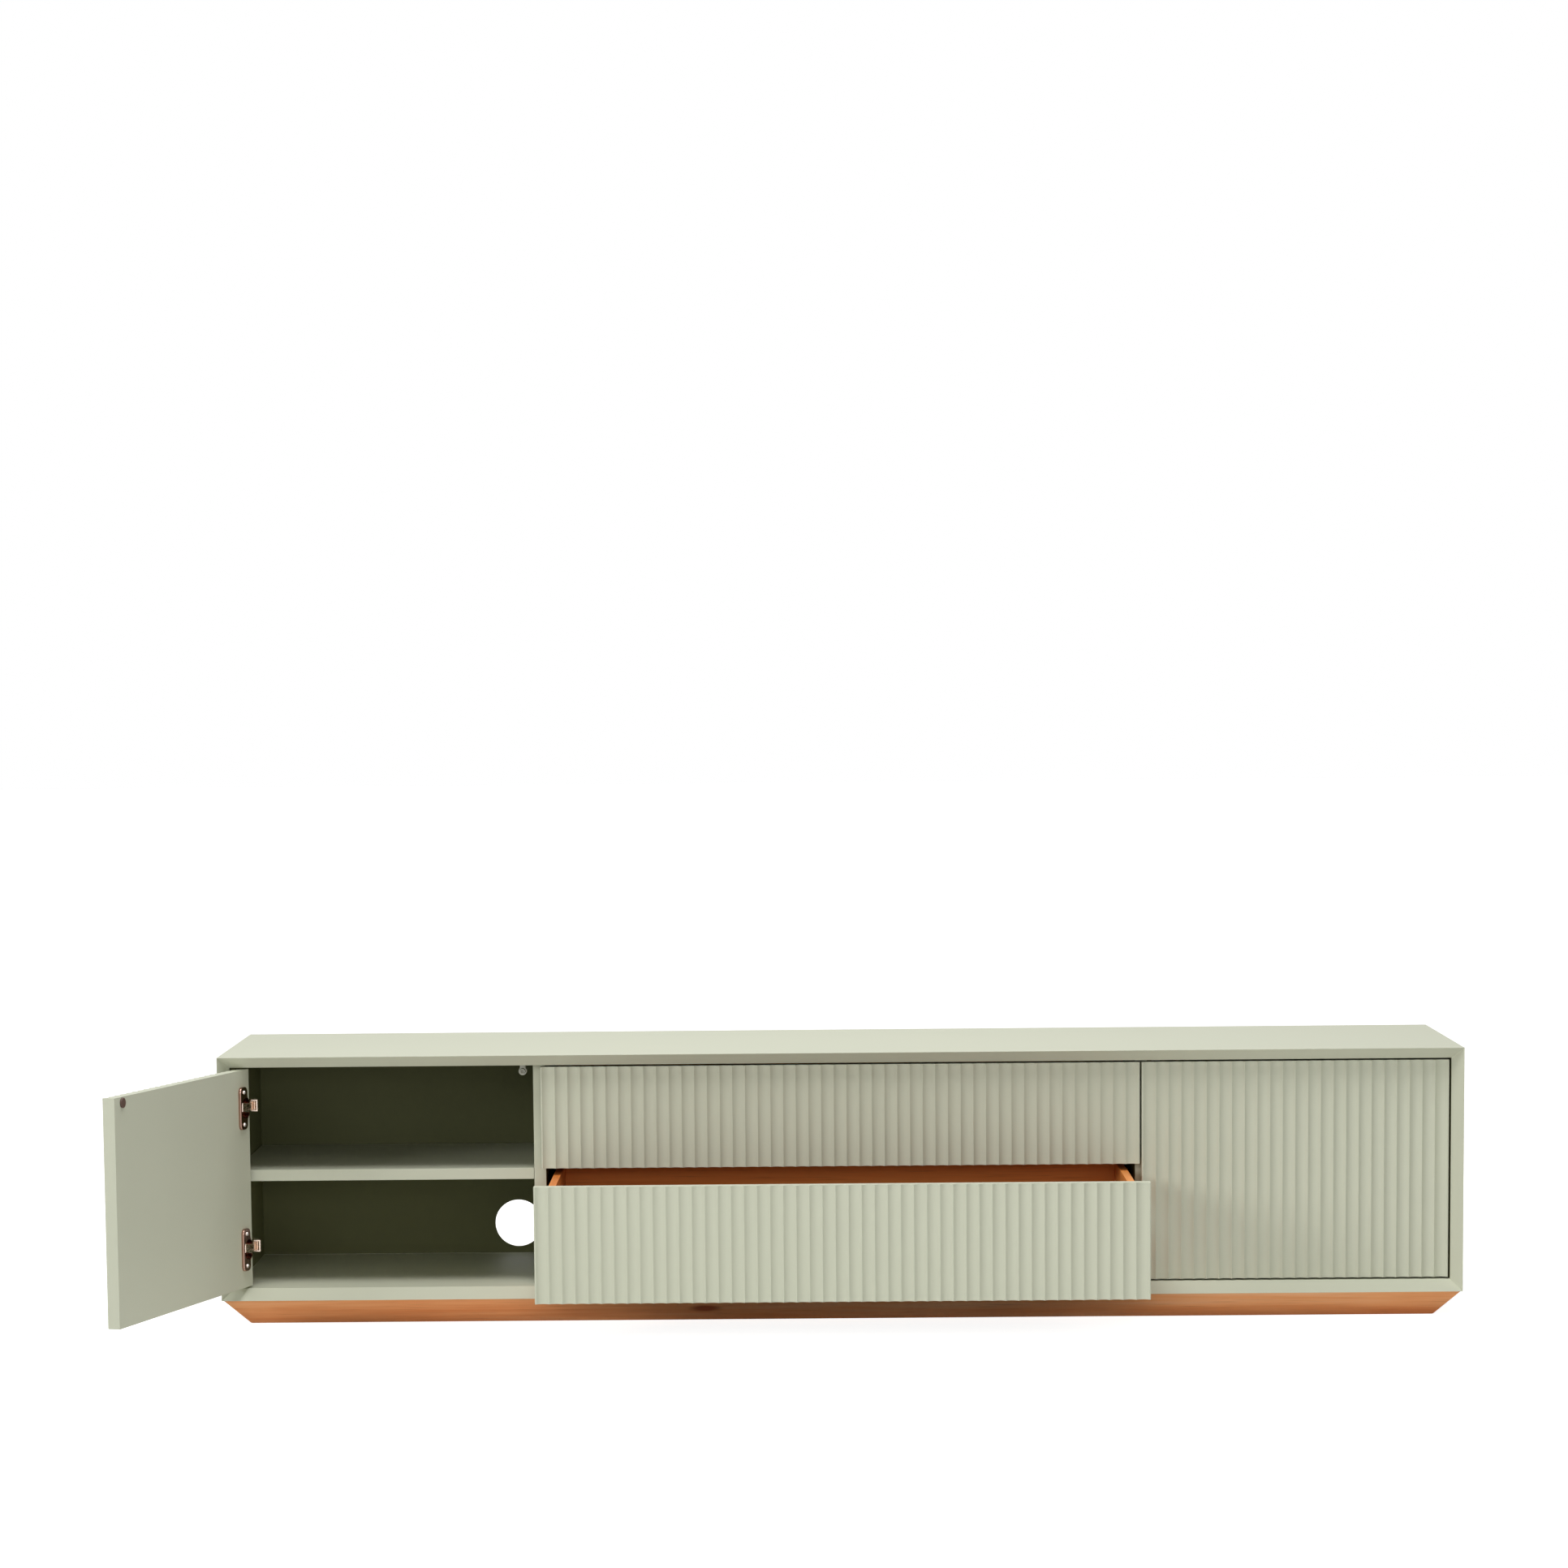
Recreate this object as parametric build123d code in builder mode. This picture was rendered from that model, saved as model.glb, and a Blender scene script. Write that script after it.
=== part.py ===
"""Low media cabinet: a mitred carcass on a tapered plinth, two fluted doors on cup hinges
and two fluted drawers on telescopic slides. Millimetres, +Z up, front towards -Y.
The origin is on the floor, under the middle of the carcass."""

import os
from math import atan2, degrees, hypot

from build123d import *

os.makedirs("parts", exist_ok=True)

# Carcass
width = 2000.0
depth = 450.0
carcass_height = 394.0
board = 18.0
bevel_setback = 22.0
divider_board = 19.0
divider_offset = 2.0
back_board = 6.0
back_inset = 14.0
groove_depth = 8.0
groove_fit = 0.2

# Plinth
plinth_height = 42.0
plinth_top_inset = 3.0
plinth_taper = 39.0
plinth_board = 20.0
cross_rail = 20.0

# Fluted fronts
leaf_thickness = 20.0
front_gap = 3.0
stop_gap = 5.0
door_flutes = 24
drawer_flutes = 47
flute_depth = 4.0
ridge_land = 0.8
edge_land = 2.5
edge_round = 1.5
middle_bay = 964.0
lower_front_height = 184.5

# Shelves
shelf_board = 18.0
shelf_height = 231.0
shelf_setback = 2.0
shelf_side_gap = 0.5
shelf_back_gap = 5.0
pin_radius = 2.5
pin_in_board = 9.0
pin_under_shelf = 9.0
pin_from_edge = 45.0
pin_fit = 0.05

# Cable holes
cable_hole_radius = 40.0
cable_hole_from_divider = 51.0
cable_hole_height = 51.0

# Cup hinges
open_angle = 107.0
link_turn = 13.0
hinge_spacing = 229.0
cup_radius = 17.5
cup_wall = 1.0
cup_depth = 12.0
cup_from_edge = 5.0
cup_fit = 0.1
flange_thickness = 4.5
flange_round = 1.6
flange_rim = 1.5
wing_length = 69.0
wing_width = 27.0
wing_round = 9.0
wing_blend = 8.0
cup_screw_spacing = 52.0
cup_screw_offset = 6.0
cup_pin_radius = 1.25
cup_pin_from_edge = 8.5
cup_pin_below_face = 8.45
ear_thickness = 2.0
ear_length = 6.0
cup_pin_grip = 1.2
link_width = 14.0
link_thickness = 4.2
link_boss_radius = 3.0
link_side_gap = 0.4
arm_pin_radius = 1.5
arm_pin_from_side = 33.0
arm_pin_behind_front = 38.6
arm_wall = 2.0
arm_head = 4.5
arm_rail_top = 15.0
arm_rail_start = 72.0
arm_rail_end = 104.0
arm_clear_of_side = 4.0
rail_side_gap = 0.6
wing_plate_thickness = 3.0
wing_plate_height = 46.0
wing_plate_width = 16.0
plate_screw_spacing = 32.0
pin_press = 0.02
pin_running = 0.05
screw_radius = 1.75
screw_head_radius = 3.4
screw_head_height = 1.8
screw_slot_width = 1.0
screw_slot_length = 4.0
screw_slot_depth = 1.0
cup_screw_length = 14.0
plate_screw_length = 11.0
screw_fit = 0.05

# Push latches
latch_from_free_edge = 27.0
latch_below_top = 12.0
latch_radius = 6.5
latch_length = 52.0
latch_set_in = 6.0
latch_saddle = 9.0
latch_foot_length = 30.0
latch_foot_width = 17.0
latch_foot_thickness = 2.0
plunger_radius = 4.5
plunger_fit = 0.1
plunger_tip_gap = 0.3
plunger_in_body = 24.0
plunger_travel = 4.0
strike_radius = 8.0
strike_thickness = 3.0

# Drawers
drawer_out = 229.0
box_length = 365.0
box_wall = 12.0
box_below_front_top = 8.0
box_above_front_bottom = 12.0
box_bottom = 6.0
box_bottom_lift = 10.0
box_groove = 5.0
box_groove_fit = 0.2
slide_space = 12.7
slide_length = 350.0
slide_setback = 3.0
slide_height = 45.0
slide_sheet = 1.2
slide_running = 0.4
slide_web_gap = 0.6

# Values worked out from the driving dimensions
front_y = -depth / 2
back_y = depth / 2
leaf_y = front_y + bevel_setback
leaf_back_y = leaf_y + leaf_thickness
divider_front_y = leaf_back_y + stop_gap
back_panel_y = back_y - back_inset - back_board
inner_x = width / 2 - board
divider_x = middle_bay / 2 + front_gap / 2 + divider_offset
opening_x = divider_x - divider_board / 2
bay_x = divider_x + divider_board / 2
base_z = plinth_height
top_z = plinth_height + carcass_height
inner_base_z = base_z + board
inner_top_z = top_z - board
mid_z = (base_z + top_z) / 2
leaf_height = carcass_height - 2 * board - 2 * front_gap
door_width = inner_x - front_gap - (middle_bay / 2 + front_gap)
cup_centre = cup_from_edge + cup_radius
link_half = link_width / 2 + link_side_gap
cup_pin_x = front_gap + cup_pin_from_edge
cup_pin_y = leaf_thickness - cup_pin_below_face
link_x = cup_pin_x - arm_pin_from_side
link_y = cup_pin_y - arm_pin_behind_front
link_length = hypot(link_x, link_y)
latch_from_edge = door_width - latch_from_free_edge
latch_z = inner_top_z - latch_below_top
latch_x = inner_x - front_gap - latch_from_edge
latch_y = divider_front_y + latch_set_in


def write(piece, name):
    """Label a finished piece and write its STEP file."""
    piece.part.label = name
    export_step(piece.part, f"parts/{name}.step")


def moved(frame, x, y, turn=0.0, z=0.0):
    """The frame shifted along its own axes, then turned about its own z axis."""
    return Plane(frame.location * Location((x, y, z), (0, 0, turn)))


def facing(frame, x, y, z):
    """A sketch plane at a point of the frame that looks along the frame's y axis."""
    return Plane(origin=frame.from_local_coords((x, y, z)), x_dir=frame.x_dir, z_dir=frame.y_dir)


def fluted_section(length, count):
    """Section of a fluted front: scallops along y = 0 between narrow ridges, flat behind."""
    pitch = (length - 2 * edge_land) / count
    with BuildSketch() as section:
        with BuildLine():
            Line((0, leaf_thickness), (0, 0))
            Line((0, 0), (edge_land, 0))
            for flute in range(count):
                left = edge_land + flute * pitch
                start = left if flute == 0 else left + ridge_land / 2
                end = left + pitch if flute == count - 1 else left + pitch - ridge_land / 2
                ThreePointArc((start, 0), ((start + end) / 2, flute_depth), (end, 0))
                if flute < count - 1:
                    Line((end, 0), (end + ridge_land, 0))
            Line((length - edge_land, 0), (length, 0))
            Line((length, 0), (length, leaf_thickness))
            Line((length, leaf_thickness), (0, leaf_thickness))
        make_face()
        along_front = section.vertices().group_by(Axis.Y)[0].sort_by(Axis.X)
        fillet([along_front[0], along_front[-1]], edge_round)
    return section.sketch


# Carcass boards: top, bottom and sides share one section with a bevelled front edge
# and a groove for the back, and meet in mitres.
pin_rows = (divider_front_y + pin_from_edge, back_panel_y - pin_from_edge)
pin_z = shelf_height - pin_radius
plate_screw_y = leaf_y + (arm_rail_start + arm_rail_end) / 2
hinge_levels = (hinge_spacing / 2, -hinge_spacing / 2)
board_frames = {
    "top_panel": (Plane((0, 0, inner_top_z), x_dir=(0, 1, 0), z_dir=(1, 0, 0)), width),
    "bottom_panel": (Plane((0, 0, inner_base_z), x_dir=(0, 1, 0), z_dir=(-1, 0, 0)), width),
    "left_side_panel": (Plane((-inner_x, 0, mid_z), x_dir=(0, 1, 0), z_dir=(0, 0, 1)), carcass_height),
    "right_side_panel": (Plane((inner_x, 0, mid_z), x_dir=(0, 1, 0), z_dir=(0, 0, -1)), carcass_height),
}
for name, (frame, length) in board_frames.items():
    with BuildPart() as carcass_board:
        with BuildSketch(frame):
            with BuildLine():
                Polyline((leaf_y, 0), (back_y, 0), (back_y, board), (front_y, board), close=True)
            make_face()
        extrude(amount=length / 2, both=True)
        with BuildSketch(frame):
            with Locations((back_panel_y + back_board / 2, 0)):
                Rectangle(back_board + groove_fit, 2 * groove_depth)
        extrude(amount=length / 2, both=True, mode=Mode.SUBTRACT)
        for end in (1, -1):
            corner = frame.from_local_coords((0, board, end * length / 2))
            mitre = Plane(origin=corner, z_dir=frame.z_dir * end - frame.y_dir)
            split(bisect_by=mitre, keep=Keep.BOTTOM)
        if "side" in name:
            with BuildSketch(Plane((frame.origin.X, 0, 0), x_dir=(0, 1, 0), z_dir=frame.y_dir)):
                drop = 1 if "left" in name else -1
                with Locations(*[(y, drop * -pin_z) for y in pin_rows]):
                    Circle(pin_radius + pin_fit)
                with Locations(*[
                    (plate_screw_y, drop * -(mid_z + level + across))
                    for level in hinge_levels
                    for across in (plate_screw_spacing / 2, -plate_screw_spacing / 2)
                ]):
                    Circle(screw_radius + screw_fit)
            extrude(amount=pin_in_board + pin_fit, mode=Mode.SUBTRACT)
    write(carcass_board, name)

# Dividers stand between the bottom and the top, behind the fronts.
for side, name in ((-1, "left_divider"), (1, "right_divider")):
    with BuildPart() as divider:
        with BuildSketch(Plane((side * divider_x, 0, inner_base_z))):
            with Locations((0, (divider_front_y + back_panel_y) / 2)):
                Rectangle(divider_board, back_panel_y - divider_front_y)
        extrude(amount=inner_top_z - inner_base_z)
        with BuildSketch(Plane((side * bay_x, 0, pin_z), x_dir=(0, 1, 0), z_dir=(-side, 0, 0))):
            with Locations(*[(y, 0) for y in pin_rows]):
                Circle(pin_radius + pin_fit)
        extrude(amount=pin_in_board + pin_fit, mode=Mode.SUBTRACT)
    write(divider, name)

# The back slides in the grooves and has one round cable hole in each outer bay.
with BuildPart() as back_panel:
    engaged = groove_depth - groove_fit
    with BuildSketch(Plane((0, back_panel_y + back_board, mid_z), x_dir=(1, 0, 0), z_dir=(0, -1, 0))):
        Rectangle(2 * (inner_x + engaged), inner_top_z - inner_base_z + 2 * engaged)
        hole_x = bay_x + cable_hole_from_divider
        hole_z = inner_base_z + cable_hole_height - mid_z
        with Locations((-hole_x, hole_z), (hole_x, hole_z)):
            Circle(cable_hole_radius, mode=Mode.SUBTRACT)
    extrude(amount=back_board)
write(back_panel, "back_panel")

# One shelf in each outer bay, loose on four round pins.
shelf_front_y = divider_front_y + shelf_setback
shelf_length = inner_x - bay_x - 2 * shelf_side_gap
shelf_middle = (inner_x + bay_x) / 2
for side, name in ((-1, "left_shelf"), (1, "right_shelf")):
    with BuildPart() as shelf:
        with BuildSketch(Plane((side * shelf_middle, 0, shelf_height))):
            with Locations((0, (shelf_front_y + back_panel_y - shelf_back_gap) / 2)):
                Rectangle(shelf_length, back_panel_y - shelf_back_gap - shelf_front_y)
        extrude(amount=shelf_board)
    write(shelf, name)

with BuildPart() as shelf_pins:
    for side in (-1, 1):
        for wall_x, inward in ((side * inner_x, -side), (side * bay_x, side)):
            start = wall_x - inward * pin_in_board
            with BuildSketch(Plane((start, 0, pin_z), x_dir=(0, 1, 0), z_dir=(inward, 0, 0))):
                with Locations(*[(y, 0) for y in pin_rows]):
                    Circle(pin_radius)
            extrude(amount=pin_in_board + pin_under_shelf)
write(shelf_pins, "shelf_pins")

# Plinth boards lean inwards towards the floor and meet in mitres at the corners.
plinth_half_x = width / 2 - plinth_top_inset
plinth_half_y = depth / 2 - plinth_top_inset
plinth_frames = {
    "plinth_front": (Plane((0, 0, 0), x_dir=(0, -1, 0), z_dir=(-1, 0, 0)), plinth_half_y, plinth_half_x),
    "plinth_back": (Plane((0, 0, 0), x_dir=(0, 1, 0), z_dir=(1, 0, 0)), plinth_half_y, plinth_half_x),
    "plinth_left": (Plane((0, 0, 0), x_dir=(-1, 0, 0), z_dir=(0, 1, 0)), plinth_half_x, plinth_half_y),
    "plinth_right": (Plane((0, 0, 0), x_dir=(1, 0, 0), z_dir=(0, -1, 0)), plinth_half_x, plinth_half_y),
}
for name, (frame, reach, half_length) in plinth_frames.items():
    with BuildPart() as plinth_side:
        with BuildSketch(frame):
            with BuildLine():
                Polyline(
                    (reach, plinth_height),
                    (reach - plinth_taper, 0),
                    (reach - plinth_taper - plinth_board, 0),
                    (reach - plinth_board, plinth_height),
                    close=True,
                )
            make_face()
        extrude(amount=half_length, both=True)
        for end in (1, -1):
            corner = frame.from_local_coords((reach, 0, end * half_length))
            mitre = Plane(origin=corner, z_dir=frame.z_dir * end - frame.x_dir)
            split(bisect_by=mitre, keep=Keep.BOTTOM)
    write(plinth_side, name)

# Upright rails across the plinth, under the middle and under the two dividers.
with BuildPart() as cross_rails:
    rail_low = plinth_half_y - plinth_taper - plinth_board
    rail_high = plinth_half_y - plinth_board
    for rail_x in (-divider_x, 0, divider_x):
        with BuildSketch(Plane((rail_x, 0, 0), x_dir=(0, 1, 0), z_dir=(1, 0, 0))):
            with BuildLine():
                Polyline(
                    (-rail_low, 0), (rail_low, 0), (rail_high, plinth_height), (-rail_high, plinth_height),
                    close=True,
                )
            make_face()
        extrude(amount=cross_rail / 2, both=True)
write(cross_rails, "plinth_cross_rails")

# Doors and cup hinges. A hinge frame sits on the side panel's inner face, in the plane of
# the fronts, with x into the bay and y to the back. The link turns on the arm's pin, and
# the door turns on the cup's pin at the link's other end. The left door stands open.
hinge_frames = {
    "left": (Plane((-inner_x, leaf_y, mid_z), x_dir=(1, 0, 0), z_dir=(0, 0, 1)), 1.0),
    "right": (Plane((inner_x, leaf_y, mid_z), x_dir=(-1, 0, 0), z_dir=(0, 0, -1)), 0.0),
}
level_names = ("upper", "lower")
head_x = arm_pin_from_side + arm_head + arm_wall
head_y = arm_pin_behind_front - arm_head
neck_y = arm_pin_behind_front + arm_head
arm_outline = (
    (arm_pin_from_side - arm_head, head_y),
    (head_x, head_y),
    (head_x, neck_y + arm_wall),
    (arm_rail_top, arm_rail_start),
    (arm_rail_top, arm_rail_end),
    (arm_clear_of_side, arm_rail_end),
    (arm_clear_of_side, arm_rail_start - 2 * arm_head),
    (arm_pin_from_side - arm_head, neck_y),
)
channel_outline = (
    (0, 0),
    (head_x - arm_wall, 0),
    (head_x - arm_wall, neck_y + arm_wall / 2),
    (arm_rail_top - arm_wall, arm_rail_start - arm_wall / 2),
    (arm_rail_top - arm_wall, 2 * arm_rail_end),
    (0, 2 * arm_rail_end),
)
pocket_depth = cup_depth - cup_wall
door_section = fluted_section(door_width, door_flutes)

for hand, (hinge, swing) in hinge_frames.items():
    up = hinge.z_dir.Z
    at_arm_pin = moved(hinge, arm_pin_from_side, arm_pin_behind_front, swing * link_turn)
    at_cup_pin = moved(at_arm_pin, link_x, link_y, -swing * (open_angle + link_turn))
    door = moved(at_cup_pin, front_gap - cup_pin_x, -cup_pin_y)
    strike_z = up * (latch_z - mid_z)

    with BuildPart() as leaf:
        with BuildSketch(door):
            add(door_section)
        extrude(amount=leaf_height / 2, both=True)
        for level in hinge_levels:
            with BuildSketch(facing(door, cup_centre, leaf_thickness, level)):
                Circle(cup_radius + cup_fit)
            extrude(amount=-(cup_depth + cup_fit), mode=Mode.SUBTRACT)
            with BuildSketch(facing(door, 0, leaf_thickness, level)):
                Rectangle(cup_centre, 2 * (link_half + link_side_gap), align=(Align.MIN, Align.CENTER))
            extrude(amount=-pocket_depth, mode=Mode.SUBTRACT)
            with BuildSketch(facing(door, cup_centre + cup_screw_offset, leaf_thickness, level)):
                with GridLocations(1, cup_screw_spacing, 1, 2):
                    Circle(screw_radius + screw_fit)
            extrude(amount=-(cup_screw_length - flange_thickness + screw_fit), mode=Mode.SUBTRACT)
    write(leaf, f"{hand}_door")

    with BuildPart() as strike:
        with BuildSketch(facing(door, latch_from_edge, leaf_thickness, strike_z)):
            Circle(strike_radius)
        extrude(amount=strike_thickness)
        chamfer(strike.faces().sort_by(Axis(door.origin, door.y_dir))[-1].edges(), strike_thickness / 4)
    write(strike, f"{hand}_strike_disc")

    for level, level_name in zip(hinge_levels, level_names if up > 0 else level_names[::-1]):
        cup_plane = facing(door, cup_centre, leaf_thickness, level)
        with BuildPart() as cup:
            with BuildSketch(cup_plane) as flange:
                wing_edge = cup_radius + flange_rim
                near_side = wing_edge - wing_width
                with Locations((near_side + wing_width / 2, 0)):
                    RectangleRounded(wing_width, wing_length, wing_round)
                Circle(wing_edge)
                inner_corners = [
                    corner for corner in flange.vertices()
                    if abs(corner.X - near_side) < 0.01 and abs(corner.Y) < wing_edge
                ]
                fillet(inner_corners, wing_blend)
            extrude(amount=flange_thickness)
            fillet(cup.faces().sort_by(Axis(door.origin, door.y_dir))[-1].edges(), flange_round)
            with BuildSketch(cup_plane):
                Circle(cup_radius)
            extrude(amount=-cup_depth)
            with BuildSketch(cup_plane.offset(flange_thickness)):
                Circle(cup_radius - cup_wall)
                ear_x = cup_from_edge - cup_centre
                with Locations((ear_x, link_half), (ear_x, -link_half - ear_thickness)):
                    Rectangle(
                        cup_wall + ear_length, ear_thickness,
                        align=(Align.MIN, Align.MIN), mode=Mode.SUBTRACT,
                    )
                with Locations((-2 * cup_radius, 0)):
                    Rectangle(2 * cup_radius, 2 * link_half, align=(Align.MIN, Align.CENTER))
            extrude(amount=-(flange_thickness + pocket_depth), mode=Mode.SUBTRACT)
            with BuildSketch(moved(at_cup_pin, 0, 0, z=level)):
                Circle(cup_pin_radius + pin_press)
            extrude(amount=cup_radius, both=True, mode=Mode.SUBTRACT)
            with BuildSketch(cup_plane):
                with Locations((cup_screw_offset, 0)):
                    with GridLocations(1, cup_screw_spacing, 1, 2):
                        Circle(screw_radius + screw_fit)
            extrude(amount=flange_thickness, mode=Mode.SUBTRACT)
        write(cup, f"{hand}_{level_name}_hinge_cup")

        with BuildPart() as arm:
            arm_plane = moved(hinge, 0, 0, z=level)
            with BuildSketch(arm_plane):
                with BuildLine():
                    Polyline(*arm_outline, close=True)
                make_face()
            extrude(amount=link_half + arm_wall, both=True)
            with BuildSketch(arm_plane):
                with BuildLine():
                    Polyline(*channel_outline, close=True)
                make_face()
            extrude(amount=link_half, both=True, mode=Mode.SUBTRACT)
            with BuildSketch(moved(arm_plane, arm_pin_from_side, arm_pin_behind_front)):
                Circle(arm_pin_radius + pin_press)
            extrude(amount=link_width, both=True, mode=Mode.SUBTRACT)
        write(arm, f"{hand}_{level_name}_hinge_arm")

    with BuildPart() as links:
        for level in hinge_levels:
            link = moved(at_arm_pin, 0, 0, degrees(atan2(link_y, link_x)), z=level)
            with BuildSketch(link):
                with Locations((link_length / 2, 0)):
                    SlotCenterToCenter(link_length, link_thickness)
                Circle(link_boss_radius)
                Circle(arm_pin_radius + pin_running, mode=Mode.SUBTRACT)
                with Locations((link_length, 0)):
                    Circle(cup_pin_radius + pin_running, mode=Mode.SUBTRACT)
            extrude(amount=link_width / 2, both=True)
            with BuildSketch(facing(link, link_length / 2, 0, 0)):
                RectangleRounded(link_length / 3, link_width / 2, link_width / 8)
            extrude(amount=link_width, both=True, mode=Mode.SUBTRACT)
    write(links, f"{hand}_hinge_links")

    with BuildPart() as cup_pins:
        for level in hinge_levels:
            with BuildSketch(moved(at_cup_pin, 0, 0, z=level)):
                Circle(cup_pin_radius)
            extrude(amount=link_half + cup_pin_grip, both=True)
    write(cup_pins, f"{hand}_hinge_cup_pins")

    with BuildPart() as cup_screws:
        for level in hinge_levels:
            screw_plane = facing(door, cup_centre + cup_screw_offset, leaf_thickness, level)
            with BuildSketch(screw_plane.offset(flange_thickness)):
                with GridLocations(1, cup_screw_spacing, 1, 2):
                    Circle(screw_head_radius)
            extrude(amount=screw_head_height, taper=20)
            with BuildSketch(screw_plane.offset(flange_thickness + screw_head_height)):
                with GridLocations(1, cup_screw_spacing, 1, 2):
                    Rectangle(screw_slot_length, screw_slot_width)
                    Rectangle(screw_slot_width, screw_slot_length)
            extrude(amount=-screw_slot_depth, mode=Mode.SUBTRACT)
            with BuildSketch(screw_plane.offset(flange_thickness)):
                with GridLocations(1, cup_screw_spacing, 1, 2):
                    Circle(screw_radius)
            extrude(amount=-cup_screw_length)
    write(cup_screws, f"{hand}_hinge_cup_screws")

    with BuildPart() as plates:
        rail_middle = (arm_rail_start + arm_rail_end) / 2
        for level in hinge_levels:
            wall = Plane(
                origin=hinge.from_local_coords((0, rail_middle, level)),
                x_dir=hinge.y_dir,
                z_dir=hinge.x_dir,
            )
            with BuildSketch(wall):
                RectangleRounded(wing_plate_width, wing_plate_height, wing_plate_width / 3)
            extrude(amount=wing_plate_thickness)
            with BuildSketch(wall):
                Rectangle(arm_rail_end - arm_rail_start, 2 * (link_half - rail_side_gap))
            extrude(amount=arm_rail_top - arm_wall)
            with BuildSketch(wall):
                with GridLocations(1, plate_screw_spacing, 1, 2):
                    Circle(screw_radius + screw_fit)
            extrude(amount=wing_plate_thickness, mode=Mode.SUBTRACT)
    write(plates, f"{hand}_hinge_plates")

# Fixed pins of the four hinge arms, and the screws of the four mounting plates.
with BuildPart() as arm_pins:
    for hinge, swing in hinge_frames.values():
        for level in hinge_levels:
            with BuildSketch(moved(hinge, arm_pin_from_side, arm_pin_behind_front, z=level)):
                Circle(arm_pin_radius)
            extrude(amount=link_half + arm_wall, both=True)
write(arm_pins, "hinge_arm_pins")

with BuildPart() as plate_screws:
    for hinge, swing in hinge_frames.values():
        for level in hinge_levels:
            seat = Plane(
                origin=hinge.from_local_coords((wing_plate_thickness, rail_middle, level)),
                x_dir=hinge.y_dir,
                z_dir=hinge.x_dir,
            )
            with BuildSketch(seat):
                with GridLocations(1, plate_screw_spacing, 1, 2):
                    Circle(screw_head_radius)
            extrude(amount=screw_head_height, taper=20)
            with BuildSketch(seat):
                with GridLocations(1, plate_screw_spacing, 1, 2):
                    Circle(screw_radius)
            extrude(amount=-plate_screw_length)
write(plate_screws, "hinge_plate_screws")

# Push latches hang from the top panel and push on the doors' strike discs.
plunger_y = leaf_back_y + strike_thickness + plunger_tip_gap
for side, hand in ((-1, "left"), (1, "right")):
    axis_plane = Plane((side * latch_x, latch_y, latch_z), x_dir=(1, 0, 0), z_dir=(0, 1, 0))
    with BuildPart() as latch_body:
        with BuildSketch(axis_plane):
            Circle(latch_radius)
            with Locations((0, -latch_below_top / 2)):
                Rectangle(latch_saddle, latch_below_top)
        extrude(amount=latch_length)
        foot_y = latch_y + latch_length / 2
        with BuildSketch(Plane((side * latch_x, foot_y, inner_top_z - latch_foot_thickness))):
            RectangleRounded(latch_foot_width, latch_foot_length, latch_foot_width / 4)
        extrude(amount=latch_foot_thickness)
        with BuildSketch(axis_plane):
            Circle(plunger_radius + plunger_fit)
        extrude(amount=plunger_in_body + plunger_travel + 1, mode=Mode.SUBTRACT)
    write(latch_body, f"{hand}_latch_body")

    with BuildPart() as plunger:
        tip = Plane((side * latch_x, plunger_y, latch_z), x_dir=(1, 0, 0), z_dir=(0, 1, 0))
        with BuildSketch(tip):
            Circle(plunger_radius)
        extrude(amount=latch_y + plunger_in_body - plunger_y)
        with BuildSketch(tip):
            Circle(plunger_radius / 2)
        extrude(amount=plunger_radius / 2, mode=Mode.SUBTRACT)
    write(plunger, f"{hand}_latch_plunger")

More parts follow.
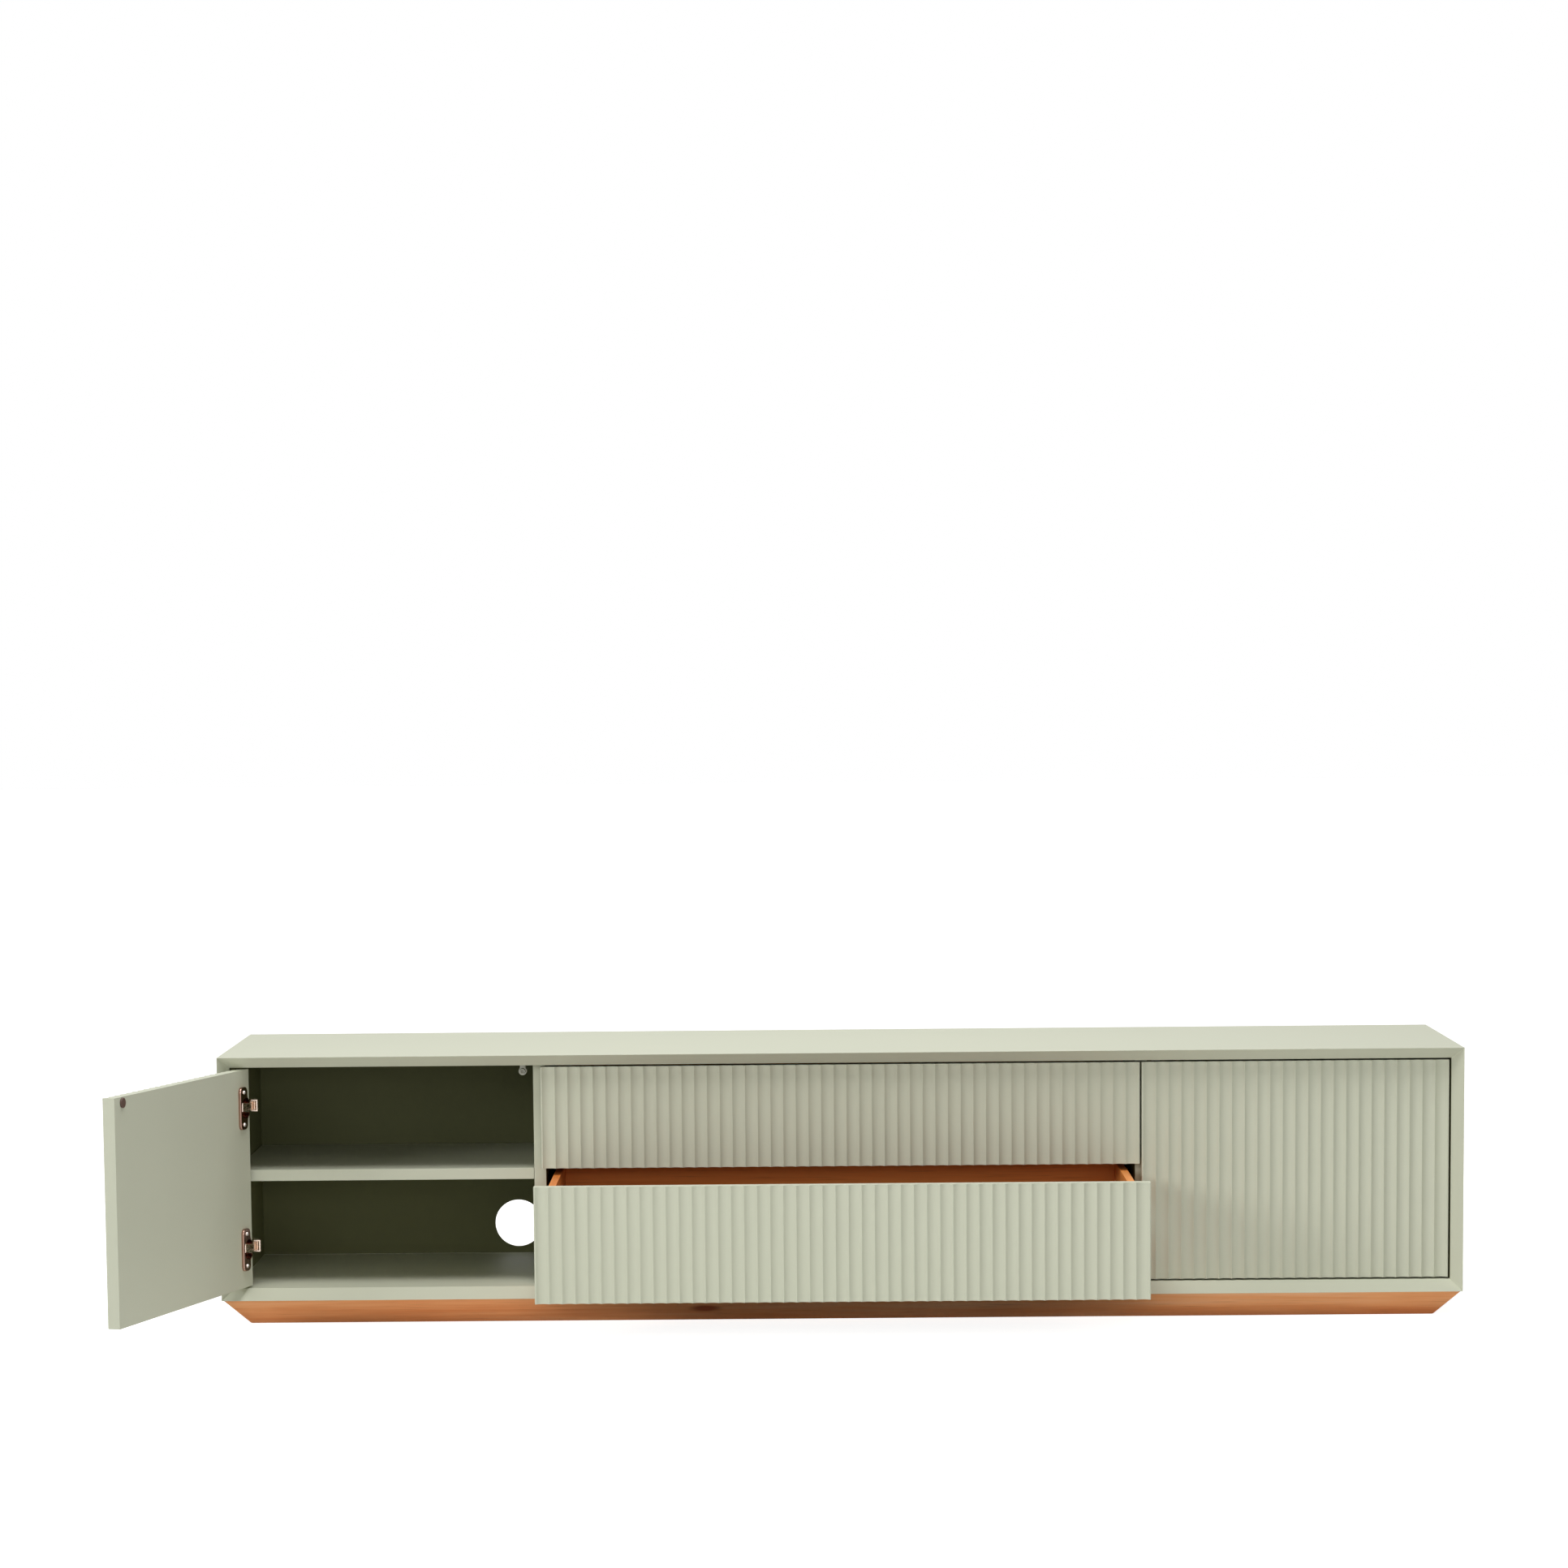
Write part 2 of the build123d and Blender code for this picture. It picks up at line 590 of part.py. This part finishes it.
# Drawers: a fluted front on a wooden box, carried by nested telescopic slides.
drawer_width = 2 * (opening_x - slide_space)
drawer_section = fluted_section(middle_bay, drawer_flutes)
door_bottom_z = inner_base_z + front_gap
door_top_z = inner_top_z - front_gap
drawers = {
    "upper": (door_bottom_z + lower_front_height + front_gap, door_top_z, 0.0),
    "lower": (door_bottom_z, door_bottom_z + lower_front_height, drawer_out),
}
for place, (low_z, high_z, out) in drawers.items():
    face_y = leaf_y - out
    box_y = leaf_back_y - out
    box_low = low_z + box_above_front_bottom
    box_high = high_z - box_below_front_top
    box_height = box_high - box_low
    box_mid = (box_low + box_high) / 2
    floor_low = box_low + box_bottom_lift
    groove_high = box_bottom + box_groove_fit

    with BuildPart() as front:
        with BuildSketch(Plane((-middle_bay / 2, face_y, (low_z + high_z) / 2))):
            add(drawer_section)
        extrude(amount=(high_z - low_z) / 2, both=True)
    write(front, f"{place}_drawer_front")

    for side, hand in ((-1, "left"), (1, "right")):
        wall_x = side * (drawer_width / 2 - box_wall / 2)
        with BuildPart() as box_side:
            with Locations((wall_x, box_y + box_length / 2, box_mid)):
                Box(box_wall, box_length, box_height)
            with Locations((wall_x - side * box_wall / 2, box_y + box_length / 2, floor_low + box_bottom / 2)):
                Box(2 * box_groove, box_length - 2 * box_wall + 2 * box_groove, groove_high, mode=Mode.SUBTRACT)
        write(box_side, f"{place}_drawer_{hand}_side")

    for name, wall_y, inward in (
        ("box_front", box_y + box_wall / 2, 1),
        ("box_back", box_y + box_length - box_wall / 2, -1),
    ):
        with BuildPart() as box_end:
            with Locations((0, wall_y, box_mid)):
                Box(drawer_width - 2 * box_wall, box_wall, box_height)
            with Locations((0, wall_y + inward * box_wall / 2, floor_low + box_bottom / 2)):
                Box(drawer_width, 2 * box_groove, groove_high, mode=Mode.SUBTRACT)
        write(box_end, f"{place}_drawer_{name}")

    with BuildPart() as bottom:
        engaged = box_groove - box_groove_fit
        with Locations((0, box_y + box_length / 2, floor_low + box_bottom / 2)):
            Box(
                drawer_width - 2 * box_wall + 2 * engaged,
                box_length - 2 * box_wall + 2 * engaged,
                box_bottom,
            )
    write(bottom, f"{place}_drawer_bottom")

    # Slide members nest in each other: the cabinet's outside, the drawer's inside.
    middle_half = slide_height / 2 - slide_sheet - slide_running
    inner_half = middle_half - slide_sheet - slide_running
    middle_web = slide_sheet + slide_web_gap
    members = {
        "cabinet_slides": (0.0, 0.0, slide_space - 2 * slide_sheet, slide_sheet, slide_height / 2),
        "middle_slides": (out / 2, middle_web, slide_space - 2 * slide_sheet, slide_sheet, middle_half),
        "drawer_slides": (out, slide_space, middle_web + slide_sheet + slide_web_gap, -slide_sheet, inner_half),
    }
    for name, (shift, web, tip, sheet, half) in members.items():
        with BuildPart() as slide:
            for side in (-1, 1):
                start_y = divider_front_y + slide_setback - shift
                run = Plane((side * opening_x, start_y, box_mid), x_dir=(-side, 0, 0), z_dir=(0, 1, 0))
                lip = half - slide_sheet
                with BuildSketch(run):
                    with BuildLine():
                        Polyline(
                            (web, -half), (tip, -half), (tip, -lip), (web + sheet, -lip),
                            (web + sheet, lip), (tip, lip), (tip, half), (web, half),
                            close=True,
                        )
                    make_face()
                extrude(amount=slide_length)
        write(slide, f"{place}_{name}")
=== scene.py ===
"""A long low media cabinet in sage paint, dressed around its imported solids.
Metres, +Z up, front towards -Y. The left door stands open and the lower drawer is out."""

from math import radians

import bpy
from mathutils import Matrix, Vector


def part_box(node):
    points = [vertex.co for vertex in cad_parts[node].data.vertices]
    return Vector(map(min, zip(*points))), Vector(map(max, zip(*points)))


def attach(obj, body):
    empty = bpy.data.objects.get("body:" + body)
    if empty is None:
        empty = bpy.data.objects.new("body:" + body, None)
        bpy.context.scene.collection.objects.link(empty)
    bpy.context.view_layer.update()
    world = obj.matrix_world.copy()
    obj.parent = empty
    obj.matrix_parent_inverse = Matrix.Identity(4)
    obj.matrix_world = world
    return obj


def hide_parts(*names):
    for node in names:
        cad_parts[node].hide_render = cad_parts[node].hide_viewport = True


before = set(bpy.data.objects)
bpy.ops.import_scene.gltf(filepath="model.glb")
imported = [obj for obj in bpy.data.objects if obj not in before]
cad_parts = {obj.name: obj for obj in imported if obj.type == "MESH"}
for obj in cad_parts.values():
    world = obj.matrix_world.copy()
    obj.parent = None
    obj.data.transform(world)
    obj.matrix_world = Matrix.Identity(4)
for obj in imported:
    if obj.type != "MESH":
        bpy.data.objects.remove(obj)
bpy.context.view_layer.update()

# Carcass: four 18 mm boards with bevelled front edges, mitred and glued at the corners.
# Their long edges are eased with fine paper before the sage paint is sprayed on. The inner
# faces of the top and the sides turn a deeper olive behind the fronts, as painted shade.
carcass_ease = 0.0009
bevelled_zone = 0.03
back_zone = 0.001
mostly_along = 0.9


def only(piece):
    """Select one piece and make it active."""
    bpy.ops.object.select_all(action="DESELECT")
    piece.select_set(True)
    bpy.context.view_layer.objects.active = piece


def apply_modifier(piece, kind, **settings):
    """Add a modifier to a piece and apply it."""
    modifier = piece.modifiers.new(kind.lower(), kind)
    for key, value in settings.items():
        setattr(modifier, key, value)
    only(piece)
    bpy.ops.object.modifier_apply(modifier=modifier.name)


def blank(node, name):
    """A new piece with the faces of a solid, merged, each flat side one face."""
    piece = bpy.data.objects.new(name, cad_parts[node].data.copy())
    bpy.context.scene.collection.objects.link(piece)
    only(piece)
    bpy.ops.mesh.customdata_custom_splitnormals_clear()
    bpy.ops.object.mode_set(mode="EDIT")
    bpy.ops.mesh.select_mode(type="EDGE")
    bpy.ops.mesh.select_all(action="SELECT")
    bpy.ops.mesh.remove_doubles(threshold=0.00001)
    bpy.ops.mesh.dissolve_limited(angle_limit=radians(1))
    bpy.ops.mesh.select_all(action="DESELECT")
    bpy.ops.object.mode_set(mode="OBJECT")
    return piece


def smooth(piece):
    """Shade the rounded edges smooth and keep the flat sides flat."""
    only(piece)
    bpy.ops.object.shade_smooth_by_angle(angle=radians(35))
    apply_modifier(piece, "WEIGHTED_NORMAL", keep_sharp=True)


def ease_long_edges(piece, axis, width):
    """Round the front and back edges that run along an axis."""
    points = piece.data.vertices
    depths = [vertex.co.y for vertex in points]
    front = min(depths) + bevelled_zone
    back = max(depths) - back_zone
    for edge in piece.data.edges:
        start, end = (points[index].co for index in edge.vertices)
        along = abs(end[axis] - start[axis]) > mostly_along * (end - start).length
        outside = start.y < front or start.y > back
        edge.select = along and outside
    only(piece)
    bpy.ops.object.mode_set(mode="EDIT")
    bpy.ops.mesh.bevel(offset=width, segments=3, affect="EDGES", clamp_overlap=True)
    bpy.ops.object.mode_set(mode="OBJECT")
    smooth(piece)


class Shade:
    """A shader socket that takes Python's operators."""

    def __init__(self, tree, socket):
        self.tree = tree
        self.socket = socket

    def node(self, kind, settings, inputs, output=0):
        """Any node: its settings first, then the values or links of its sockets."""
        made = self.tree.nodes.new(kind)
        for key, value in settings.items():
            if key == "stops":
                ramp = made.color_ramp.elements
                while len(ramp) < len(value):
                    ramp.new(1.0)
                for stop, (position, colour) in zip(ramp, value):
                    stop.position = position
                    stop.color = colour
            else:
                setattr(made, key, value)
        for key, value in inputs.items():
            if isinstance(value, Shade):
                self.tree.links.new(value.socket, made.inputs[key])
            else:
                made.inputs[key].default_value = value
        return Shade(self.tree, made.outputs[output])

    def maths(self, operation, first, second):
        """A Math node on two values."""
        return self.node("ShaderNodeMath", {"operation": operation}, {0: first, 1: second})

    def vector(self, operation, other=(0, 0, 0), output="Vector"):
        """A Vector Math node on this place and another."""
        return self.node("ShaderNodeVectorMath", {"operation": operation}, {0: self, 1: other}, output)

    def larger(self, other):
        """The larger of this value and another."""
        return self.maths("MAXIMUM", self, other)

    def rise(self, start, end, top=1.0, curve="SMOOTHSTEP"):
        """A value that goes from 0 to its top while this one goes from start to end."""
        limits = {"Value": self, "From Min": start, "From Max": end, "To Max": top}
        return self.node("ShaderNodeMapRange", {"interpolation_type": curve}, limits)

    def mixed(self, first, second):
        """A colour between two others, by this value. Mix keeps its colours in sockets 6, 7 and 2."""
        return self.node("ShaderNodeMix", {"data_type": "RGBA"}, {0: self, 6: first, 7: second}, 2)

    def __add__(self, other):
        return self.maths("ADD", self, other)

    def __sub__(self, other):
        return self.maths("SUBTRACT", self, other)

    def __rsub__(self, other):
        return self.maths("SUBTRACT", other, self)

    def __mul__(self, other):
        return self.maths("MULTIPLY", self, other)

    __radd__ = __add__
    __rmul__ = __mul__


def tone(red, green, blue):
    """A colour given in 0 to 255, as the shader's linear values."""
    shares = (red / 255, green / 255, blue / 255)
    linear = [((share + 0.055) / 1.055) ** 2.4 for share in shares]
    return (*linear, 1.0)


def finish(name, **values):
    """A new material: itself, its shader and the place on the piece."""
    material = bpy.data.materials.new(name)
    material.use_nodes = True
    tree = material.node_tree
    shader = tree.nodes["Principled BSDF"]
    for key, value in values.items():
        shader.inputs[key.replace("_", " ")].default_value = value
    place = tree.nodes.new("ShaderNodeTexCoord")
    return material, shader, Shade(tree, place.outputs["Object"])


def feed(shader, **links):
    """Link values to the shader's sockets."""
    for key, value in links.items():
        value.tree.links.new(value.socket, shader.inputs[key.replace("_", " ")])


def noise(place, scale=1.0, detail=2.0, stretch=(1, 1, 1), turn=(0, 0, 0), distortion=0.0):
    """Noise from 0 to 1 over the piece, turned first and then stretched along its axes."""
    turned = place.node("ShaderNodeMapping", {}, {"Vector": place, "Rotation": turn})
    laid = turned.vector("MULTIPLY", stretch)
    sockets = {"Vector": laid, "Scale": scale, "Detail": detail, "Distortion": distortion}
    return place.node("ShaderNodeTexNoise", {}, sockets)


def bump(height, distance):
    """A fine relief for the Normal socket."""
    return height.node("ShaderNodeBump", {}, {"Height": height, "Distance": distance})


def reach(place, middle, half_size):
    """How far a place is from the middle of a space, in half sizes of the space."""
    return place.vector("SUBTRACT", middle).vector("DIVIDE", half_size)


def satin_paint(name, first, second, shade_tones=None, space=None):
    """Sprayed satin paint, slightly cloudy, with a fine orange peel, and with darker tones painted in as
    shade inside a space.
    """
    material, shader, place = finish(name, Specular_IOR_Level=0.2)
    cloud = noise(place, scale=2.6)
    peel = noise(place, scale=520.0, detail=1.0)
    colour = cloud.mixed(first, second)
    # Inside the space the colour turns darker: painted shade for the inside of the bays.
    if shade_tones:
        away = reach(place, *space).vector("ABSOLUTE")
        across, deep, up = (away.node("ShaderNodeSeparateXYZ", {}, {0: away}, axis) for axis in "XYZ")
        furthest = across.larger(deep).larger(up)
        inside = furthest.maths("LESS_THAN", furthest, 1.0)
        colour = inside.mixed(colour, cloud.mixed(*shade_tones))
    feed(
        shader,
        Base_Color=colour,
        Roughness=0.48 + 0.10 * cloud + 0.05 * peel,
        Normal=bump(peel, distance=0.00003),
    )
    return material


shade_margin = 0.0005


def space_behind(front):
    """The middle and half the size of the room inside the carcass, from a piece's front to the back,
    where painted shade goes.
    The shade margin's depth takes in the walls, the ceiling and the back, but not the floor or that
    front."""
    left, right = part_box("left_side_panel")[1][0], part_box("right_side_panel")[0][0]
    floor_top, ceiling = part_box("bottom_panel")[1][2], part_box("top_panel")[0][2]
    low = Vector((left - shade_margin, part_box(front)[0][1] + shade_margin, floor_top + shade_margin))
    high = Vector((right + shade_margin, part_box("back_panel")[0][1] + shade_margin, ceiling + shade_margin))
    return (low + high) / 2, (high - low) / 2


sage = (tone(205, 208, 187), tone(212, 214, 194))
# Deeper olive tones: painted shade for the inside of the bays.
shaded_olive = (tone(115, 117, 80), tone(123, 125, 87))
sage_paint = satin_paint("sage_paint", *sage)
bay_paint_with_shade = satin_paint("bay_paint_with_shade", *sage, shaded_olive, space_behind("left_divider"))
frame_paint_with_shade = satin_paint("frame_paint_with_shade", *sage, shaded_olive, space_behind("right_door"))


def fit(piece, material, body, node):
    """Give a piece its finish and set it on its body in place of a solid."""
    piece.data.materials.clear()
    piece.data.materials.append(material)
    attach(piece, body)
    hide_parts(node)


along_x, along_z = 0, 2
for node, axis, paint in (
    ("top_panel", along_x, frame_paint_with_shade),
    ("bottom_panel", along_x, sage_paint),
    ("left_side_panel", along_z, frame_paint_with_shade),
    ("right_side_panel", along_z, frame_paint_with_shade),
):
    carcass_board = blank(node, f"{node}_painted")
    ease_long_edges(carcass_board, axis, carcass_ease)
    fit(carcass_board, paint, "carcass", node)

# Dividers, shelves and back: plain painted boards inside the carcass, sage on the shelves
# and a deeper olive of painted shade where dividers and back face the bays. The dividers are
# doweled, the shelves lie loose on turned steel pins and the thin back slides in grooves.
inner_ease = 0.0007


def dress(node, name, ease, material, body, segments=3):
    """A new piece in place of a solid, with every sharp edge rounded."""
    piece = blank(node, name)
    apply_modifier(
        piece,
        "BEVEL",
        width=ease,
        segments=segments,
        limit_method="ANGLE",
        angle_limit=radians(30),
        use_clamp_overlap=True,
    )
    smooth(piece)
    fit(piece, material, body, node)


for node, paint in (
    ("left_divider", bay_paint_with_shade),
    ("right_divider", bay_paint_with_shade),
    ("left_shelf", sage_paint),
    ("right_shelf", sage_paint),
    ("back_panel", bay_paint_with_shade),
):
    dress(node, f"{node}_painted", inner_ease, paint, "carcass")


def bare_metal(name, first, second, smoothest, spread, **grain):
    """Plain or plated metal with a fine grain in its colour and gloss."""
    material, shader, place = finish(name, Metallic=1.0)
    sheen = noise(place, **grain)
    feed(shader, Base_Color=sheen.mixed(first, second), Roughness=smoothest + spread * sheen)
    return material


def coat(material, *nodes):
    """Give solids that stay their finish."""
    for node in nodes:
        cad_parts[node].material_slots[0].material = material


pin_tones = (tone(176, 176, 176), tone(205, 204, 202))
pin_steel = bare_metal("pin_steel", *pin_tones, smoothest=0.25, spread=0.15, scale=900.0)
coat(pin_steel, "shelf_pins")

# Plinth: solid wood boards, stained reddish brown, that lean inwards towards the floor.
# They are mitred at the corners and stiffened by cross rails, with a satin lacquer. The
# front board has a dark knot.
plinth_ease = 0.0012


def stained_wood(name, turn, pale, middle, dark, pores, knot=None):
    """Stained wood with its grain along the turned x axis, under a satin lacquer."""
    material, shader, place = finish(name, Specular_IOR_Level=0.12, Coat_Roughness=0.32, Coat_IOR=1.4)
    drift = noise(place, stretch=(0.9, 9.0, 9.0), turn=turn, distortion=0.4)
    figure = noise(place, stretch=(1.6, 34.0, 34.0), turn=turn, detail=3.0, distortion=1.3)
    fibre = noise(place, stretch=(14.0, 620.0, 620.0), turn=turn)
    streak = noise(place, stretch=(5.0, 190.0, 190.0), turn=turn)
    blend = 0.45 * drift + 0.40 * figure + 0.15 * streak
    stops = [(0.30, dark), (0.48, middle), (0.66, pale)]
    ground = blend.node("ShaderNodeValToRGB", {"stops": stops}, {"Fac": blend})
    if knot:
        knot_edge = reach(place, *knot).vector("LENGTH", output="Value") + 0.6 * (figure - 0.5)
        core = knot_edge.rise(start=1.0, end=0.35, top=0.95)
        ground = core.mixed(ground, pores)
    open_pore = fibre.rise(start=0.58, end=0.72, top=0.3, curve="LINEAR")
    feed(
        shader,
        Base_Color=open_pore.mixed(ground, pores),
        Roughness=0.36 + 0.16 * streak,
        Normal=bump(fibre, distance=0.00005),
        Coat_Weight=0.04 + 0.08 * drift,
    )
    return material


lengthwise = (0, 0, 0)
crosswise = (0, 0, radians(90))
plinth_tones = (tone(255, 206, 160), tone(250, 180, 122), tone(230, 140, 80), tone(168, 82, 38))
knot_middle = (-0.220, -0.203, 0.021)
knot_half_size = (0.034, 0.012, 0.010)
plinth_wood = stained_wood("plinth_wood", lengthwise, *plinth_tones, knot=(knot_middle, knot_half_size))
plinth_wood_across = stained_wood("plinth_wood_across", crosswise, *plinth_tones)
for node, wood in (
    ("plinth_front", plinth_wood),
    ("plinth_back", plinth_wood),
    ("plinth_left", plinth_wood_across),
    ("plinth_right", plinth_wood_across),
    ("plinth_cross_rails", plinth_wood_across),
):
    dress(node, f"{node}_stained", plinth_ease, wood, "carcass")

# Doors: 20 mm board with round flutes cut side by side in the face, so that narrow ridges
# stand between them. Painted all over as the carcass is, bored at the back for the hinges.
ridge_ease = 0.00035
for door in ("left_door", "right_door"):
    dress(door, f"{door}_fluted", ridge_ease, sage_paint, door, segments=2)

# Cup hinges: pressed steel. The cups and flanges are plated dark bronze, the links, arms
# and mounting plates a bright coppery nickel. Pins join them, and steel screws hold the
# cups to the doors and the plates to the side panels.
hinge_ease = 0.0005
bronze_tones = (tone(176, 138, 124), tone(196, 160, 146))
copper_tones = (tone(250, 226, 206), tone(254, 238, 224))
screw_tones = (tone(198, 192, 184), tone(222, 218, 212))
hinge_bronze = bare_metal("hinge_bronze", *bronze_tones, smoothest=0.10, spread=0.10, scale=160.0)
hinge_copper = bare_metal("hinge_copper", *copper_tones, smoothest=0.20, spread=0.14, scale=240.0)
screw_steel = bare_metal("screw_steel", *screw_tones, smoothest=0.22, spread=0.16, scale=700.0)
for hand in ("left", "right"):
    for hinge in (f"{hand}_upper", f"{hand}_lower"):
        cup, arm = f"{hinge}_hinge_cup", f"{hinge}_hinge_arm"
        dress(cup, f"{hinge}_cup_and_flange", hinge_ease, hinge_bronze, f"{hand}_door")
        dress(arm, f"{hinge}_arm_pressing", hinge_ease, hinge_copper, "carcass")
    links, plates = f"{hand}_hinge_links", f"{hand}_hinge_plates"
    dress(links, f"{hand}_link_pressings", hinge_ease, hinge_copper, links)
    dress(plates, f"{hand}_mounting_plates", hinge_ease, hinge_copper, "carcass")
coat(pin_steel, "hinge_arm_pins", "left_hinge_cup_pins", "right_hinge_cup_pins")
coat(screw_steel, "left_hinge_cup_screws", "right_hinge_cup_screws", "hinge_plate_screws")

# Push latches: a moulded grey housing under the top holds a sprung plunger with a hollow
# rubbery tip. It presses on a dark brown disc that is stuck to the door's inner face.
latch_ease = 0.0006


def moulded(name, first, second, roughness):
    """Fine-grained moulded plastic."""
    material, shader, place = finish(name)
    grain = noise(place, scale=1400.0, detail=1.0)
    flow = noise(place, scale=60.0)
    feed(
        shader,
        Base_Color=flow.mixed(first, second),
        Roughness=roughness + 0.10 * grain,
        Normal=bump(grain, distance=0.00002),
    )
    return material


latch_grey = moulded("latch_grey", tone(198, 199, 186), tone(208, 208, 196), roughness=0.38)
latch_tip = moulded("latch_tip", tone(152, 152, 140), tone(166, 166, 154), roughness=0.50)
strike_brown = moulded("strike_brown", tone(84, 60, 50), tone(98, 72, 60), roughness=0.42)
for hand in ("left", "right"):
    for node, plastic, slot, body in (
        (f"{hand}_latch_body", latch_grey, "latch_grey", "carcass"),
        (f"{hand}_latch_plunger", latch_tip, "latch_tip", f"{hand}_latch_plunger"),
        (f"{hand}_strike_disc", strike_brown, "strike_brown", f"{hand}_door"),
    ):
        dress(node, f"{node}_moulded", latch_ease, plastic, body)

# Drawers: fluted fronts like the doors, screwed to boxes of 12 mm stained wood. A bottom
# of thin brown hardboard sits in grooves, and zinc-plated telescopic slides carry the box.
box_ease = 0.0008
box_tones = (tone(244, 160, 86), tone(230, 139, 68), tone(203, 109, 48), tone(148, 70, 27))
drawer_wood = stained_wood("drawer_wood", lengthwise, *box_tones)
drawer_wood_across = stained_wood("drawer_wood_across", crosswise, *box_tones)
hardboard, shader, place = finish("hardboard", Specular_IOR_Level=0.3)
flecks = noise(place, scale=260.0, detail=4.0)
feed(
    shader,
    Base_Color=flecks.mixed(tone(92, 86, 76), tone(110, 103, 92)),
    Roughness=0.55 + 0.15 * flecks,
    Normal=bump(flecks, distance=0.00003),
)
zinc_tones = (tone(168, 171, 174), tone(196, 198, 200))
zinc_grain = {"detail": 3.0, "stretch": (400.0, 30.0, 400.0)}
slide_steel = bare_metal("slide_steel", *zinc_tones, smoothest=0.28, spread=0.18, **zinc_grain)
for level in ("upper", "lower"):
    drawer = f"{level}_drawer"
    front = f"{drawer}_front"
    dress(front, f"{front}_fluted", ridge_ease, sage_paint, drawer, segments=2)
    for node, board in (
        (f"{drawer}_left_side", drawer_wood_across),
        (f"{drawer}_right_side", drawer_wood_across),
        (f"{drawer}_box_front", drawer_wood),
        (f"{drawer}_box_back", drawer_wood),
        (f"{drawer}_bottom", hardboard),
    ):
        dress(node, f"{node}_stained", box_ease, board, drawer)
    coat(slide_steel, f"{level}_cabinet_slides", f"{level}_middle_slides", f"{level}_drawer_slides")

# Studio: a plain pale floor that fades to white, a large soft light from high in front,
# others over the top, from the left, from the right and low in front, and an even white
# surround that mainly shows in the view and in reflections.
floor_size = 60.0
floor_glow = 0.88
floor_shine = 0.25
fade_start, fade_end = 0.9, 3.0
ambient = 0.05


def looked_at(tree, *kinds):
    """1 for rays of these kinds and 0 for the others."""
    rays = tree.nodes.new("ShaderNodeLightPath").outputs
    found = Shade(tree, rays[kinds[0]])
    for kind in kinds[1:]:
        found = found.larger(Shade(tree, rays[kind]))
    return found


bpy.ops.object.select_all(action="DESELECT")
bpy.ops.mesh.primitive_plane_add(size=floor_size)
floor = bpy.context.object
floor.name = "studio_floor"
floor_paper, shader, place = finish("floor_paper", Roughness=0.9)
dust = noise(place, scale=0.8)
feed(shader, Base_Color=dust.mixed(tone(226, 226, 224), tone(230, 230, 228)))
tree = floor_paper.node_tree
mirrored = looked_at(tree, "Is Glossy Ray", "Is Transmission Ray")
seen = looked_at(tree, "Is Camera Ray") + floor_shine * mirrored
faded = place.vector("LENGTH", output="Value").rise(fade_start, fade_end)
glow = seen.node("ShaderNodeEmission", {}, {"Strength": seen * (floor_glow + (1.0 - floor_glow) * faded)})
lit = glow.node("ShaderNodeAddShader", {}, {0: Shade(tree, shader.outputs[0]), 1: glow})
tree.links.new(lit.socket, tree.nodes["Material Output"].inputs["Surface"])
floor.data.materials.append(floor_paper)

surround = bpy.data.worlds.new("white_surround")
bpy.context.scene.world = surround
surround.use_nodes = True
tree = surround.node_tree
shown = looked_at(tree, "Is Camera Ray", "Is Glossy Ray", "Is Transmission Ray")
strength = ambient + (1.0 - ambient) * shown
tree.links.new(strength.socket, tree.nodes["Background"].inputs["Strength"])
tree.nodes["Background"].inputs["Color"].default_value = (1.0, 1.0, 1.0, 1.0)


def softbox(name, place, size, power, aim=(0.0, 0.0, 0.2)):
    """A large soft area light, turned towards a point."""
    bpy.ops.object.light_add(type="AREA", location=place)
    light = bpy.context.object
    light.name = name
    light.data.shape = "RECTANGLE"
    light.data.size, light.data.size_y = size
    light.data.energy = power
    towards = Vector(aim) - Vector(place)
    light.rotation_euler = towards.to_track_quat("-Z", "Y").to_euler()


softbox("key_light", place=(-0.5, -1.75, 4.5), size=(2.6, 1.8), power=119.0)
softbox("left_light", place=(-3.6, -3.0, 1.5), size=(1.4, 1.2), power=43.0)
softbox("front_left_light", place=(-1.6, -3.4, 1.2), size=(1.4, 0.5), power=6.0, aim=(-0.4, 0.0, 0.1))
softbox("right_light", place=(2.8, -2.4, 1.5), size=(1.2, 1.2), power=8.5)
softbox("low_light", place=(0.6, -3.6, 0.8), size=(3.4, 0.4), power=13.0, aim=(0.2, 0.0, 0.1))
softbox("top_light", place=(0.0, 0.6, 3.4), size=(4.0, 1.2), power=39.0, aim=(0.0, 0.1, 0.3))

# Camera: the photograph's viewpoint, about seven metres in front and a metre up, with the
# cabinet low in a square frame.
camera_place = (-0.060585, -7.351866, 1.07181)
camera_turn = (radians(83.8764), radians(0.5190), radians(0.4160))
bpy.ops.object.camera_add(location=camera_place, rotation=camera_turn)
camera = bpy.context.object
camera.data.sensor_width = 36.0
camera.data.lens = 102.52
camera.data.shift_x = 0.01142
camera.data.shift_y = 0.22284
bpy.context.scene.camera = camera
bpy.context.scene.view_settings.view_transform = "Standard"
